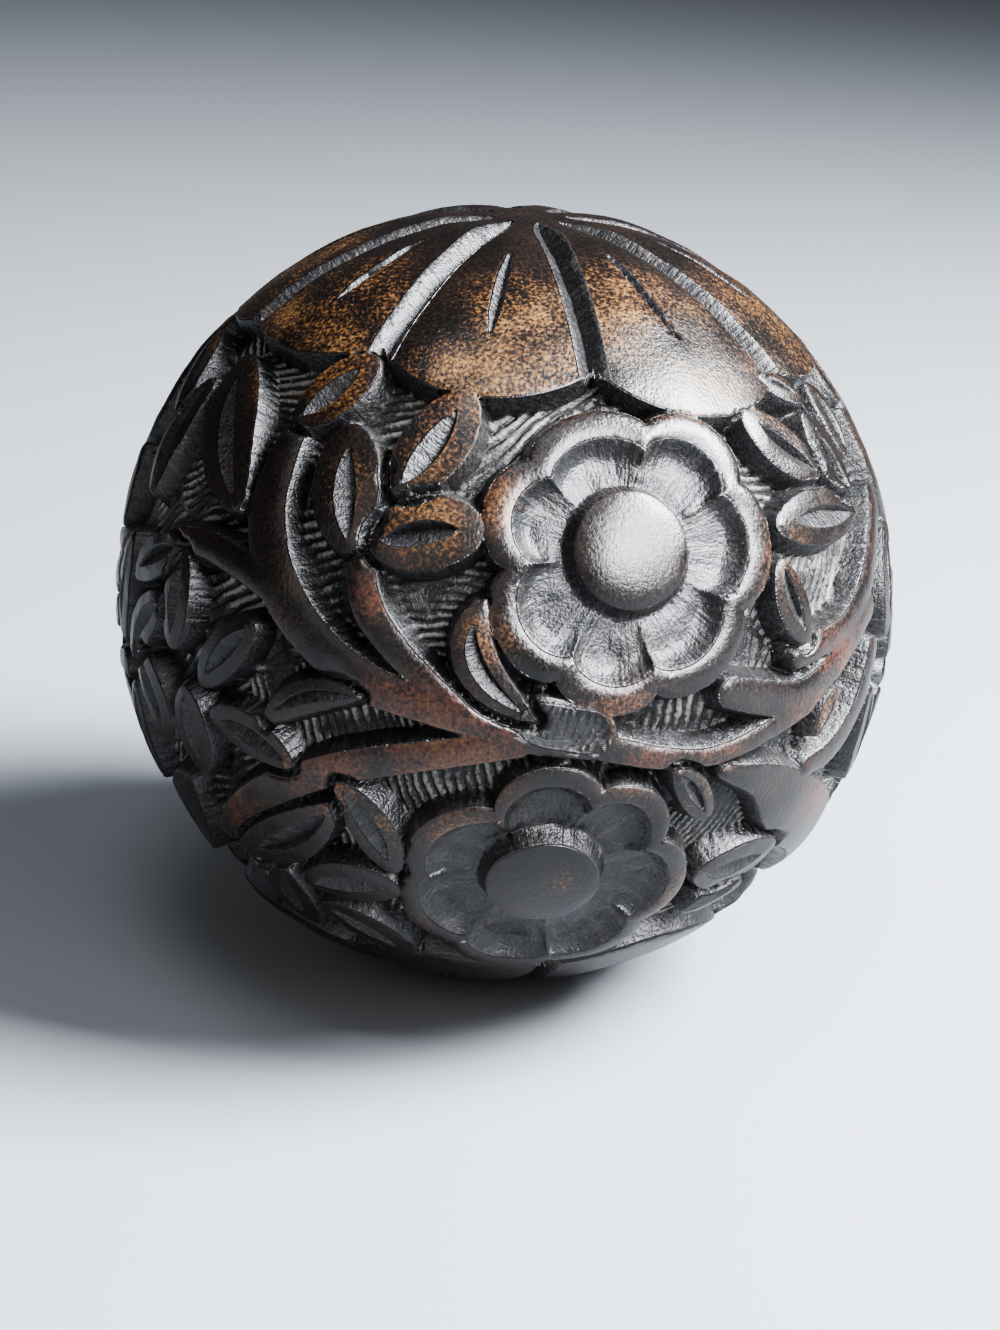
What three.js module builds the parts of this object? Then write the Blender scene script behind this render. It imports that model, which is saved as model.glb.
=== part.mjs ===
// A turned wooden ball, carved all over in low relief. An eight-petal rosette covers each pole, and between
// them runs a wide band of many-lobed flowers, leaves and branching stems, left standing above a cut-back
// ground. The ball rests on a small flat spot, and the origin is in the middle of that spot.
import * as THREE from "three";
import { ConvexHull } from "three/addons/math/ConvexHull.js";

// Driving sizes, in millimetres
const BALL_DIAMETER = 100;
const FOOT_FLAT_DEPTH = 1; // how much of the underside is planed off
const GROUND_DEPTH = 3.2; // from the ball's surface down to the ground between the motifs
const WALL_RUN = 1.2; // how far a motif's wall leans out on its way down
const CUT_DEPTH = 1.5; // the groove that sets a leaf off from the stem or leaf beside it
const CUT_WIDTH = 1.4;
const VEIN_DEPTH = 1.3;
const CHANNEL_DEPTH = 2; // the V between two petals of a rosette
const PETAL_VEIN_DEPTH = 1.1;
const SCOOP_DEPTH = 2.4; // the hollow of a flower's lobe, just outside the boss
const BOSS_CROWN = 0.4; // how far a boss bulges from its edge to its middle
const CROWN_DIP = 0.9; // how far the top of the ball is worn down

// Sizes of the carving, in degrees seen from the middle of the ball
const FLOWER_RIM = 3.8; // width of the raised band around a flower
const BOSS_RADIUS = 7.3;
const MOAT_RADIUS = 8.9; // where the boss's wall reaches the bottom of the scoops
const SCOOP_WALL = 1.7; // width of the slope that leads from the rim down into a scoop
const VEIN_HALF_WIDTH = 1.2; // at the middle of a leaf
const CHANNEL_HALF_WIDTH = 2.2;
const CHANNEL_TAPER = 6; // length over which a channel widens from its start near the pole
const TOP_HUB = 5; // distance from the pole at which the channels start, on top
const PETAL_VEIN_FROM = 19; // a petal's vein runs between these distances from the pole
const PETAL_VEIN_TO = 36;
const PETAL_VEIN_HALF_WIDTH = 1;
const CROWN_REACH = 16;

// How closely the surface is sampled, in millimetres
const FRONT_SPACING = 2.5; // along the edges of the motifs in front
const BACK_SPACING = 4.2; // along the edges of the motifs behind, and along a rosette's channels
const FIELD_SPACING = 7.5; // over the open surfaces
const LEAST_SPACING = 0.5; // between any two points
const STEM_STEPS = 5; // points along a stem between one station and the next
const LEAF_STEPS = 12; // points along a leaf
const VEIN_START = 2; // the points of the leaf at which its vein starts and ends
const VEIN_END = 10;
const VEIN_STEPS = VEIN_END - VEIN_START;

// Shares and powers that shape the motifs
const LOBE_ROUNDNESS = 0.6; // a lower power makes a lobe, leaf or petal blunter
const LEAF_ROUNDNESS = 0.6;
const LEAF_LEAN = 1.05; // above 1, a leaf is widest past its middle
const LEAF_POINT = 0.06; // least width of a leaf's ends, in shares of its width
const PETAL_ROUNDNESS = 0.7;
const SCOOP_EVEN = 0.35; // share of a scoop's depth that is the same all over
const SCOOP_HOLLOW = 0.35; // share that grows from the ridges to the middle of the lobe
const SCOOP_FALL = 0.3; // share that grows from the rim to the moat
const WALL_STEPS = [1, 0.75, 0.5, 0.3]; // where the foot of a wall is looked for, in shares of its run
const EDGE_TOLERANCE = 0.1; // an edge is open unless a motif covers it by more than this share of the run

const BALL_RADIUS = BALL_DIAMETER / 2;
const FOOT_HEIGHT = BALL_RADIUS - FOOT_FLAT_DEPTH;
const FOOT_ANGLE = Math.acos(FOOT_HEIGHT / BALL_RADIUS);
const WALL_ANGLE = WALL_RUN / BALL_RADIUS;
const CUT_ANGLE = CUT_WIDTH / BALL_RADIUS;
const FOOT_HUB = THREE.MathUtils.radToDeg(FOOT_ANGLE) + 1.5; // the channels below start clear of the foot
const radians = THREE.MathUtils.degToRad;
const POLE = new THREE.Vector3(0, 0, 1);

// Longitude 0 is the front, at -Y, and longitude grows to the right as one faces it.
function direction(longitude, latitude) {
  const east = radians(longitude);
  const north = radians(latitude);
  return new THREE.Vector3(
    Math.cos(north) * Math.sin(east),
    -Math.cos(north) * Math.cos(east),
    Math.sin(north),
  );
}

// A shape of changing width along a spine on the unit ball: a leaf or a stem
class Stroke {
  constructor(spacing, spine, halfWidths) {
    this.spacing = spacing;
    this.spine = spine;
    this.halfWidths = halfWidths;
    this.middle = spine[Math.floor(spine.length / 2)];
    const reaches = spine.map((point) => point.distanceTo(this.middle));
    this.reach = Math.max(...reaches) + Math.max(...halfWidths);
  }

  // Signed distance to the outline, below zero inside
  distance(point) {
    const clear = point.distanceTo(this.middle) - this.reach;
    if (clear > 2 * WALL_ANGLE) {
      return clear;
    }
    let nearest = Infinity;
    for (let i = 0; i + 1 < this.spine.length; i += 1) {
      const start = this.spine[i];
      const run = new THREE.Vector3().subVectors(this.spine[i + 1], start);
      const offset = new THREE.Vector3().subVectors(point, start);
      const share = THREE.MathUtils.clamp(offset.dot(run) / run.lengthSq(), 0, 1);
      const halfWidth = THREE.MathUtils.lerp(this.halfWidths[i], this.halfWidths[i + 1], share);
      nearest = Math.min(nearest, offset.addScaledVector(run, -share).length() - halfWidth);
    }
    return nearest;
  }

  // A place along the spine: its centre, the ways along and across, and the half width there
  crossing(share) {
    const place = share * (this.spine.length - 1);
    const before = Math.min(Math.floor(place), this.spine.length - 2);
    const [start, end] = this.spine.slice(before, before + 2);
    const [from, to] = this.halfWidths.slice(before, before + 2);
    const centre = start.clone().lerp(end, place - before).normalize();
    const along = end.clone().sub(start).normalize();
    const across = new THREE.Vector3().crossVectors(along, centre).normalize();
    return { centre, along, across, halfWidth: THREE.MathUtils.lerp(from, to, place - before) };
  }

  crossings(spacing, least) {
    const length = this.spine.slice(1).reduce((sum, point, i) => sum + point.distanceTo(this.spine[i]), 0);
    const count = Math.max(least, Math.round((length * BALL_RADIUS) / spacing));
    return Array.from({ length: count + 1 }, (_, i) => this.crossing(i / count));
  }

  // Rays along both sides and at the ends. Each gives the point that lies the asked way outside the outline.
  edgeRays() {
    const all = this.crossings(this.spacing, 2);
    return all.flatMap(({ centre, along, across, halfWidth }, i) => {
      const ways = [across, across.clone().negate()];
      if (i === 0) {
        ways.push(along.negate());
      }
      if (i === all.length - 1) {
        ways.push(along);
      }
      return ways.map((way) => (outward) => this.edgePoint(centre, way, halfWidth, outward));
    });
  }

  // The bottom and both edges of a groove that follows this stroke
  grooveLines() {
    return this.crossings(FRONT_SPACING, 4).flatMap(({ centre, across, halfWidth }) => {
      return [0, 1, -1].map((side) => centre.clone().addScaledVector(across, side * halfWidth).normalize());
    });
  }

  edgePoint(centre, side, halfWidth, outward) {
    let out = halfWidth + outward;
    for (let i = 0; i < 3; i += 1) {
      out += outward - this.distance(centre.clone().addScaledVector(side, out));
    }
    return centre.clone().addScaledVector(side, out).normalize();
  }
}

// A leaf bends from its base through its middle to its tip, with a lens-shaped vein cut along it.
class Leaf extends Stroke {
  constructor(spacing, width, base, middle, tip) {
    const from = direction(...base);
    const through = direction(...middle);
    const to = direction(...tip);
    const bend = through.clone().multiplyScalar(2).addScaledVector(from, -0.5).addScaledVector(to, -0.5);
    const curve = new THREE.QuadraticBezierCurve3(from, bend, to);
    const spine = curve.getPoints(LEAF_STEPS).map((point) => point.normalize());
    const fullness = spine.map((point, i) => {
      return Math.max(0, Math.sin(Math.PI * (i / LEAF_STEPS) ** LEAF_LEAN)) ** LEAF_ROUNDNESS;
    });
    super(spacing, spine, fullness.map((share) => Math.max(share, LEAF_POINT) * radians(width / 2)));
    const inner = spine.slice(VEIN_START, VEIN_END + 1);
    const veinWidths = inner.map((point, i) => {
      return Math.max(0, Math.sin((Math.PI * i) / VEIN_STEPS)) ** LEAF_ROUNDNESS * radians(VEIN_HALF_WIDTH);
    });
    this.vein = new Stroke(spacing, inner, veinWidths);
  }

  // The groove around the leaf, where another motif would touch it
  cutDepth(distance) {
    const share = distance / CUT_ANGLE;
    return share > 0 && share < 1 ? CUT_DEPTH * (1 - Math.abs(2 * share - 1)) : 0;
  }

  surfaceDepth(point) {
    const insideVein = -this.vein.distance(point);
    return insideVein > 0 ? (VEIN_DEPTH * insideVein) / radians(VEIN_HALF_WIDTH) : 0;
  }

  innerLines() {
    return this.vein.grooveLines();
  }
}

// A stem runs smoothly through its stations, each given as longitude, latitude and width.
class Stem extends Stroke {
  constructor(spacing, stations) {
    const curve = new THREE.CatmullRomCurve3(stations.map(([east, north]) => direction(east, north)));
    const steps = STEM_STEPS * (stations.length - 1);
    const halfWidths = [];
    for (let i = 0; i <= steps; i += 1) {
      const before = Math.min(Math.floor(i / STEM_STEPS), stations.length - 2);
      const [from, to] = stations.slice(before, before + 2).map(([, , width]) => width);
      const width = THREE.MathUtils.lerp(from, to, i / STEM_STEPS - before);
      halfWidths.push(radians(width / 2));
    }
    const spine = halfWidths.map((halfWidth, i) => curve.getPoint(i / steps).normalize());
    super(spacing, spine, halfWidths);
  }

  surfaceDepth() {
    return 0;
  }

  innerLines() {
    return [];
  }
}

// A flower has lobes between notches. Each notch is given as its bearing, clockwise from north, its distance
// from the middle, and how far the lobe that follows it reaches, all in degrees.
class Flower {
  constructor(spacing, centre, notches) {
    this.spacing = spacing;
    this.middle = direction(...centre);
    this.east = new THREE.Vector3().crossVectors(POLE, this.middle).normalize();
    this.north = new THREE.Vector3().crossVectors(this.middle, this.east);
    this.notches = notches;
  }

  place(bearing, reach) {
    const outward = this.east.clone().multiplyScalar(Math.sin(radians(bearing)));
    outward.addScaledVector(this.north, Math.cos(radians(bearing)));
    return this.middle.clone().multiplyScalar(Math.cos(reach)).addScaledVector(outward, Math.sin(reach));
  }

  bearing(point) {
    const angle = Math.atan2(point.dot(this.east), point.dot(this.north));
    return THREE.MathUtils.euclideanModulo(THREE.MathUtils.radToDeg(angle), 360);
  }

  // The lobe at a bearing: its edge's distance from the middle, and the share of the way across it
  lobe(bearing) {
    const last = this.notches.length - 1;
    const found = this.notches.findLastIndex(([start]) => start <= bearing);
    const [start, depth, reach] = this.notches[found < 0 ? last : found];
    const [end, nextDepth] = this.notches[found < 0 || found === last ? 0 : found + 1];
    const width = THREE.MathUtils.euclideanModulo(end - start, 360);
    const share = THREE.MathUtils.euclideanModulo(bearing - start, 360) / width;
    const swell = Math.max(0, Math.sin(Math.PI * share)) ** LOBE_ROUNDNESS;
    const chord = THREE.MathUtils.lerp(depth, nextDepth, share);
    return { edge: radians(chord + (reach - (depth + nextDepth) / 2) * swell), swell };
  }

  distance(point) {
    return point.angleTo(this.middle) - this.lobe(this.bearing(point)).edge;
  }

  surfaceDepth(point) {
    const reach = point.angleTo(this.middle);
    const boss = radians(BOSS_RADIUS);
    const moat = radians(MOAT_RADIUS);
    if (reach < boss) {
      return BOSS_CROWN * (reach / boss) ** 2;
    }
    if (reach < moat) {
      return THREE.MathUtils.mapLinear(reach, boss, moat, BOSS_CROWN, SCOOP_DEPTH);
    }
    // A scoop falls steeply from the rim and then gently to the moat, and a ridge parts it from the next.
    const { edge, swell } = this.lobe(this.bearing(point));
    const fallen = edge - radians(FLOWER_RIM) - reach;
    const steep = THREE.MathUtils.clamp(fallen / radians(SCOOP_WALL), 0, 1);
    const gentle = THREE.MathUtils.clamp(1 - (reach - moat) / (edge - moat), 0, 1);
    return SCOOP_DEPTH * steep * (SCOOP_EVEN + SCOOP_HOLLOW * swell + SCOOP_FALL * gentle);
  }

  // Evenly spaced bearings around a ring, as many as its radius asks for
  bearings(radius) {
    const steps = Math.round((radians(360) * Math.sin(radius) * BALL_RADIUS) / this.spacing);
    return Array.from({ length: steps }, (_, i) => (360 * i) / steps);
  }

  edgeRays() {
    const bearings = [...this.notches.map(([bearing]) => bearing), ...this.bearings(this.lobe(0).edge)];
    return bearings.map((bearing) => (outward) => this.place(bearing, this.lobe(bearing).edge + outward));
  }

  innerLines() {
    const inside = (bearing) => this.lobe(bearing).edge - radians(FLOWER_RIM);
    const rings = [radians(BOSS_RADIUS), radians(MOAT_RADIUS)].flatMap((radius) => {
      return this.bearings(radius).map((bearing) => this.place(bearing, radius));
    });
    const rim = this.bearings(inside(0)).flatMap((bearing) => {
      return [0, SCOOP_WALL].map((inward) => this.place(bearing, inside(bearing) - radians(inward)));
    });
    return [this.middle.clone(), ...rings, ...rim];
  }
}

// A rosette covers a pole. Each channel between two petals is given as its longitude, the latitude of its
// notch in the rim, and the lowest latitude of the petal that follows it.
class Rosette {
  constructor(spacing, side, hub, channels) {
    this.spacing = spacing;
    this.side = side;
    this.hub = radians(hub);
    this.channels = channels;
    this.middle = direction(0, side * 90);
    this.veins = channels.map(([longitude], i) => {
      const next = channels[(i + 1) % channels.length][0];
      const between = longitude + THREE.MathUtils.euclideanModulo(next - longitude, 360) / 2;
      const spine = [0, 0.25, 0.5, 0.75, 1].map((share) => {
        return this.place(between, radians(THREE.MathUtils.lerp(PETAL_VEIN_FROM, PETAL_VEIN_TO, share)));
      });
      const halfWidths = [0.5, 0.9, 1, 0.9, 0.3].map((share) => share * radians(PETAL_VEIN_HALF_WIDTH));
      return new Stroke(spacing, spine, halfWidths);
    });
  }

  place(longitude, fromPole) {
    return direction(longitude, this.side * (90 - THREE.MathUtils.radToDeg(fromPole)));
  }

  petal(point) {
    const longitude = THREE.MathUtils.radToDeg(Math.atan2(point.x, -point.y));
    return this.petalAt(longitude);
  }

  petalAt(longitude) {
    const turn = THREE.MathUtils.euclideanModulo(longitude - this.channels[0][0], 360);
    const found = this.channels.findLastIndex(([start]) => start - this.channels[0][0] <= turn);
    const [start, notch, lowest] = this.channels[found];
    const [end, nextNotch] = this.channels[(found + 1) % this.channels.length];
    const width = THREE.MathUtils.euclideanModulo(end - start, 360);
    const share = (turn - (start - this.channels[0][0])) / width;
    const swell = Math.max(0, Math.sin(Math.PI * share)) ** PETAL_ROUNDNESS;
    const chord = THREE.MathUtils.lerp(notch, nextNotch, share);
    const latitude = chord + (lowest - (notch + nextNotch) / 2) * swell;
    return { edge: radians(90 - latitude), across: Math.min(share, 1 - share) * radians(width), share };
  }

  distance(point) {
    return point.angleTo(this.middle) - this.petal(point).edge;
  }

  channelHalfWidth(fromPole) {
    const share = (fromPole - this.hub) / radians(CHANNEL_TAPER);
    return radians(CHANNEL_HALF_WIDTH) * Math.sqrt(THREE.MathUtils.clamp(share, 0, 1));
  }

  surfaceDepth(point) {
    const fromPole = point.angleTo(this.middle);
    const halfWidth = this.channelHalfWidth(fromPole);
    const insideChannel = halfWidth - this.petal(point).across * Math.sin(fromPole);
    const insideVein = -Math.min(...this.veins.map((vein) => vein.distance(point)));
    const channel = (CHANNEL_DEPTH * insideChannel) / radians(CHANNEL_HALF_WIDTH);
    const vein = (PETAL_VEIN_DEPTH * insideVein) / radians(PETAL_VEIN_HALF_WIDTH);
    return Math.max(channel, vein, 0);
  }

  edgeRays() {
    const steps = Math.round((radians(360) * BALL_RADIUS * Math.SQRT1_2) / this.spacing);
    const longitudes = Array.from({ length: steps }, (_, i) => (360 * i) / steps);
    const all = [...this.channels.map(([longitude]) => longitude), ...longitudes];
    return all.map((longitude) => (outward) => this.place(longitude, this.petalAt(longitude).edge + outward));
  }

  innerLines() {
    const points = this.veins.flatMap((vein) => vein.grooveLines());
    for (const [longitude, notch] of this.channels) {
      const run = radians(90 - notch) - this.hub;
      const steps = Math.round((run * BALL_RADIUS) / BACK_SPACING);
      for (let i = 0; i <= steps; i += 1) {
        const fromPole = this.hub + (run * i) / steps;
        const sideways = this.channelHalfWidth(fromPole) / Math.sin(fromPole);
        for (const side of [-1, 0, 1]) {
          points.push(this.place(longitude + side * THREE.MathUtils.radToDeg(sideways), fromPole));
        }
      }
    }
    return points;
  }
}

// The motifs of the front, in degrees of longitude and latitude
const flowers = [
  {
    centre: [18, 24.5],
    notches: [
      [13, 17, 21.3],
      [62, 18.8, 21],
      [117, 17.6, 20.8],
      [170.5, 18.8, 21.6],
      [213, 19.2, 21.3],
      [264.7, 16.7, 20.1],
      [314, 17.6, 19.2],
    ],
  },
  {
    centre: [8.5, -24],
    notches: [
      [21, 16.7, 20.2],
      [68, 16.5, 20.8],
      [125, 18.5, 22.4],
      [170, 20.5, 22.6],
      [214, 18.4, 20.1],
      [268, 17.5, 18.9],
      [329, 14.8, 19.8],
    ],
  },
];

// Each leaf is its width, then its base, middle and tip.
const leaves = [
  // left of the upper flower
  [9, [-17, 30.5], [-13, 37], [-9, 44.5]],
  [9.5, [-18.5, 23], [-12, 25.3], [-4.5, 26.5]],
  [9.5, [-22.5, 22], [-25.3, 29.5], [-27.5, 37]],
  [8, [-38.5, 37], [-34, 42], [-30, 47.5]],
  [5.5, [5, 2.5], [-3, 9.5], [-2.5, 17.5]],
  // the left side
  [10.5, [-43, 23], [-53, 32.5], [-61, 42]],
  [6, [-51.5, 15], [-51.3, 8], [-51, 1.5]],
  [6, [-53, 14.5], [-59, 12], [-65, 7.5]],
  [6.5, [-55, 6.5], [-60.5, 2], [-65, -4.5]],
  [8, [-61, -3], [-57.5, -8], [-53.5, -13]],
  [7.3, [-48, -4], [-47, -9.5], [-46, -15]],
  [6, [-35, 9], [-40, 4], [-44, -1.5]],
  [6, [-28, -9], [-35, -6.5], [-42, -5.5]],
  [4.2, [-18, 3], [-26, 1.3], [-32, -3.5]],
  // left of the lower flower
  [7.5, [-22, -14], [-31, -22.5], [-42, -28]],
  [6.3, [-21, -10], [-16.3, -16.5], [-13.5, -23.5]],
  [7.3, [-29.5, -30.5], [-21, -28], [-13.5, -27.5]],
  [7.5, [-34, -30], [-36, -37], [-36, -44]],
  [8, [-28, -36], [-21, -40], [-14.5, -46]],
  // right of the upper flower
  [5.5, [42.5, 20.8], [43.8, 15], [46.5, 9.5]],
  [7.5, [64, 23.5], [54, 25], [43.5, 25.5]],
  [7, [57, 30.5], [50.5, 35.5], [44.5, 41]],
  [6.5, [65, 26.5], [62.5, 32], [61.5, 38.5]],
  [3.5, [54, 46], [59, 43.5], [64, 40.5]],
  [5.5, [70, 31], [71, 36.5], [70, 42]],
  // right of the lower flower
  [3.2, [50, -5], [52, -2], [54, 0.5]],
  [4.3, [25, -5.5], [28.5, -9.5], [31.5, -14]],
  [8.5, [34.5, -24.5], [41, -25], [48.5, -23]],
  [4.6, [36, -34], [41, -31.8], [47, -31]],
];

const stems = [
  // up to the left from the place where all stems meet
  [
    [2, 1, 4], [-8, 3, 4.5], [-17, 5, 5], [-25, 9, 5.5],
    [-32, 15, 6], [-37, 23, 6], [-38, 31, 4.5], [-38, 37, 3],
  ],
  [[-4, 2.5, 2.5], [-9, 6.3, 3], [-13.5, 9.8, 3.5], [-18, 14.5, 4], [-20.5, 20, 4]],
  [[-33, 14.5, 4], [-40, 16.3, 3.8], [-47, 17, 3.6], [-55, 16, 3]],
  // down to the left
  [
    [3, -1, 3.5], [-8, -3.5, 4], [-19, -7, 4.3], [-27, -11, 4.3],
    [-34, -15.5, 4.5], [-40, -21, 4.5], [-45, -26, 3],
  ],
  // to the right
  [[3, 0, 4], [14, -1.3, 3.4], [22, -3.3, 3], [30, -4, 2.6], [38, -2.3, 2.8], [47, 0.5, 3]],
  [[32.5, 4.6, 4], [39, 2.8, 4.5], [45, 1.8, 5], [51, 3.5, 4.5], [57, 6.5, 4], [64, 10, 3.5]],
  [[45, 7.5, 3], [51, 8.5, 3.6], [57, 9.5, 3.8], [63, 13, 4], [69, 17.5, 4], [76, 23, 4]],
  [[50, -10, 3], [57, -8.5, 4], [62, -4, 4], [66, 3, 4]],
  [[33, -6.8, 2], [41, -10, 5], [47, -14.5, 9], [53, -19, 11], [61, -24, 10], [70, -32, 7]],
];

// Leaves that close the gaps beside the repeats
const fillers = [
  [7, [79, 13], [84, 6], [87, -2]],
  [7, [78, -3], [81, -11], [82, -19]],
  [6.5, [88, 10], [92, 3], [93, -4]],
  [7, [187, -16], [183, -21], [179, -28]],
  [7.5, [180, -34], [187, -38], [192, -45]],
];

// The channels of the rosette on top, and of the one below, which mirrors it
const channels = [
  [-71, 48, 46],
  [-29, 50, 44.5],
  [15, 50, 41.5],
  [59, 46.5, 43],
  [105, 49, 44],
  [151, 49, 44],
  [197, 49, 44],
  [243, 49, 44],
];

// The back repeats the middle of the front, turned about the pole. A stem that runs on past it is cut.
const repeats = [
  { turn: 122, from: -46, to: 66 },
  { turn: 231, from: -46, to: 58 },
];

function motifsAt(turn, spacing, leafList, stemList) {
  const turned = ([longitude, ...rest]) => [longitude + turn, ...rest];
  return [
    ...flowers.map(({ centre, notches }) => new Flower(spacing, turned(centre), notches)),
    ...leafList.map(([width, ...places]) => new Leaf(spacing, width, ...places.map(turned))),
    ...stemList.map((stations) => new Stem(spacing, stations.map(turned))),
  ];
}

function repeated({ turn, from, to }) {
  const isWithin = ([longitude]) => longitude >= from && longitude <= to;
  const leafList = leaves.filter(([, ...places]) => places.every(isWithin));
  const cut = stems.map((stations) => stations.filter(isWithin));
  const stemList = cut.filter((stations) => stations.length > 1);
  return motifsAt(turn, BACK_SPACING, leafList, stemList);
}

const motifs = [
  new Rosette(FRONT_SPACING, 1, TOP_HUB, channels),
  new Rosette(BACK_SPACING, -1, FOOT_HUB, channels),
  ...motifsAt(0, FRONT_SPACING, leaves, stems),
  ...repeats.flatMap(repeated),
  ...fillers.map((leaf) => new Leaf(BACK_SPACING, ...leaf)),
];

// How far the carved surface lies below the ball's own, in a given direction
function carvedDepth(point) {
  let nearest = Infinity;
  let surface = 0;
  for (const motif of motifs) {
    const distance = motif.distance(point);
    nearest = Math.min(nearest, distance);
    if (distance < 0) {
      surface = Math.max(surface, motif.surfaceDepth(point));
    } else if (motif instanceof Leaf) {
      surface = Math.max(surface, motif.cutDepth(distance));
    }
  }
  const wall = GROUND_DEPTH * THREE.MathUtils.clamp(nearest / WALL_ANGLE, 0, 1);
  const fromTop = point.angleTo(POLE) / radians(CROWN_REACH);
  const dip = CROWN_DIP * (1 - THREE.MathUtils.smoothstep(fromTop, 0, 1));
  return Math.max(surface, wall) + dip;
}

// Gathers directions that keep a least distance from each other
class Sampling {
  constructor() {
    this.points = [];
    this.cells = new Map();
  }

  neighbours(point, cellSize) {
    const [x, y, z] = point.toArray().map((value) => Math.floor((value * BALL_RADIUS) / cellSize));
    const found = [];
    for (const i of [x - 1, x, x + 1]) {
      for (const j of [y - 1, y, y + 1]) {
        for (const k of [z - 1, z, z + 1]) {
          found.push(...(this.cells.get(`${i},${j},${k}`) ?? []));
        }
      }
    }
    return found;
  }

  add(point, spacing) {
    const near = this.neighbours(point, FIELD_SPACING);
    if (near.some((other) => other.distanceTo(point) * BALL_RADIUS < spacing)) {
      return;
    }
    const key = point.toArray().map((value) => Math.floor((value * BALL_RADIUS) / FIELD_SPACING)).join();
    this.cells.set(key, [...(this.cells.get(key) ?? []), point]);
    this.points.push(point);
  }
}

function unionDistance(point) {
  return Math.min(...motifs.map((motif) => motif.distance(point)));
}

function sampleDirections() {
  const sampling = new Sampling();
  // The planed foot: its edge, and three points around its middle
  const footSteps = Math.round((2 * Math.PI * Math.sin(FOOT_ANGLE) * BALL_RADIUS) / FRONT_SPACING);
  for (let i = 0; i < footSteps; i += 1) {
    const longitude = (360 * i) / footSteps;
    sampling.add(direction(longitude, THREE.MathUtils.radToDeg(FOOT_ANGLE) - 90), LEAST_SPACING);
  }
  for (const longitude of [60, 180, 300]) {
    sampling.add(direction(longitude, THREE.MathUtils.radToDeg(FOOT_ANGLE / 2) - 90), LEAST_SPACING);
  }
  // Each motif's edge, and the foot of its wall: the lowest point that a ray reaches within the wall's run
  for (const motif of motifs) {
    for (const ray of motif.edgeRays()) {
      const edge = ray(0);
      const open = unionDistance(edge) > -EDGE_TOLERANCE * WALL_ANGLE;
      if (open) {
        const down = WALL_STEPS.map((share) => ray(share * WALL_ANGLE));
        const lowest = down.reduce((low, point) => (unionDistance(point) > unionDistance(low) ? point : low));
        sampling.add(edge, LEAST_SPACING);
        sampling.add(lowest, LEAST_SPACING);
      } else if (motif instanceof Leaf) {
        [0, 0.5, 1].forEach((share) => sampling.add(ray(share * CUT_ANGLE), LEAST_SPACING));
      }
    }
  }
  for (const motif of motifs) {
    motif.innerLines().forEach((point) => sampling.add(point, LEAST_SPACING));
  }
  // The open surfaces, by a spiral that covers the ball evenly
  const spiralCount = Math.round((4 * Math.PI * BALL_RADIUS ** 2) / (FIELD_SPACING / 2) ** 2);
  const goldenAngle = Math.PI * (3 - Math.sqrt(5));
  for (let i = 0; i < spiralCount; i += 1) {
    const height = 1 - (2 * i + 1) / spiralCount;
    const around = Math.sqrt(1 - height ** 2);
    const angle = i * goldenAngle;
    const point = new THREE.Vector3(around * Math.cos(angle), around * Math.sin(angle), height);
    sampling.add(point, FIELD_SPACING);
  }
  return sampling.points;
}

// Directions are joined by the faces of their convex hull, and each is then set at its carved depth.
function carvedBallGeometry() {
  const directions = sampleDirections();
  const places = new Map(directions.map((point, i) => [point, i]));
  const indices = [];
  for (const face of new ConvexHull().setFromPoints(directions).faces) {
    let edge = face.edge;
    do {
      indices.push(places.get(edge.head().point));
      edge = edge.next;
    } while (edge !== face.edge);
  }
  const positions = directions.flatMap((point) => {
    const carved = point.clone().multiplyScalar(BALL_RADIUS - carvedDepth(point));
    if (carved.z < -FOOT_HEIGHT) {
      carved.multiplyScalar(-FOOT_HEIGHT / carved.z);
    }
    return carved.toArray();
  });
  const geometry = new THREE.BufferGeometry();
  geometry.setAttribute("position", new THREE.Float32BufferAttribute(positions, 3));
  geometry.setIndex(indices);
  geometry.computeVertexNormals();
  return geometry;
}

function carvedBall() {
  const wood = new THREE.MeshStandardMaterial({ color: 0x3a2a22, roughness: 0.42, metalness: 0 });
  const mesh = new THREE.Mesh(carvedBallGeometry(), wood);
  mesh.name = "carved_ball";
  mesh.position.z = FOOT_HEIGHT;
  return mesh;
}

const group = new THREE.Group();
group.add(carvedBall());

export default group;
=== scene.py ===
import math

import bmesh
import bpy
import numpy as np
from mathutils import Matrix, Vector


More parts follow.
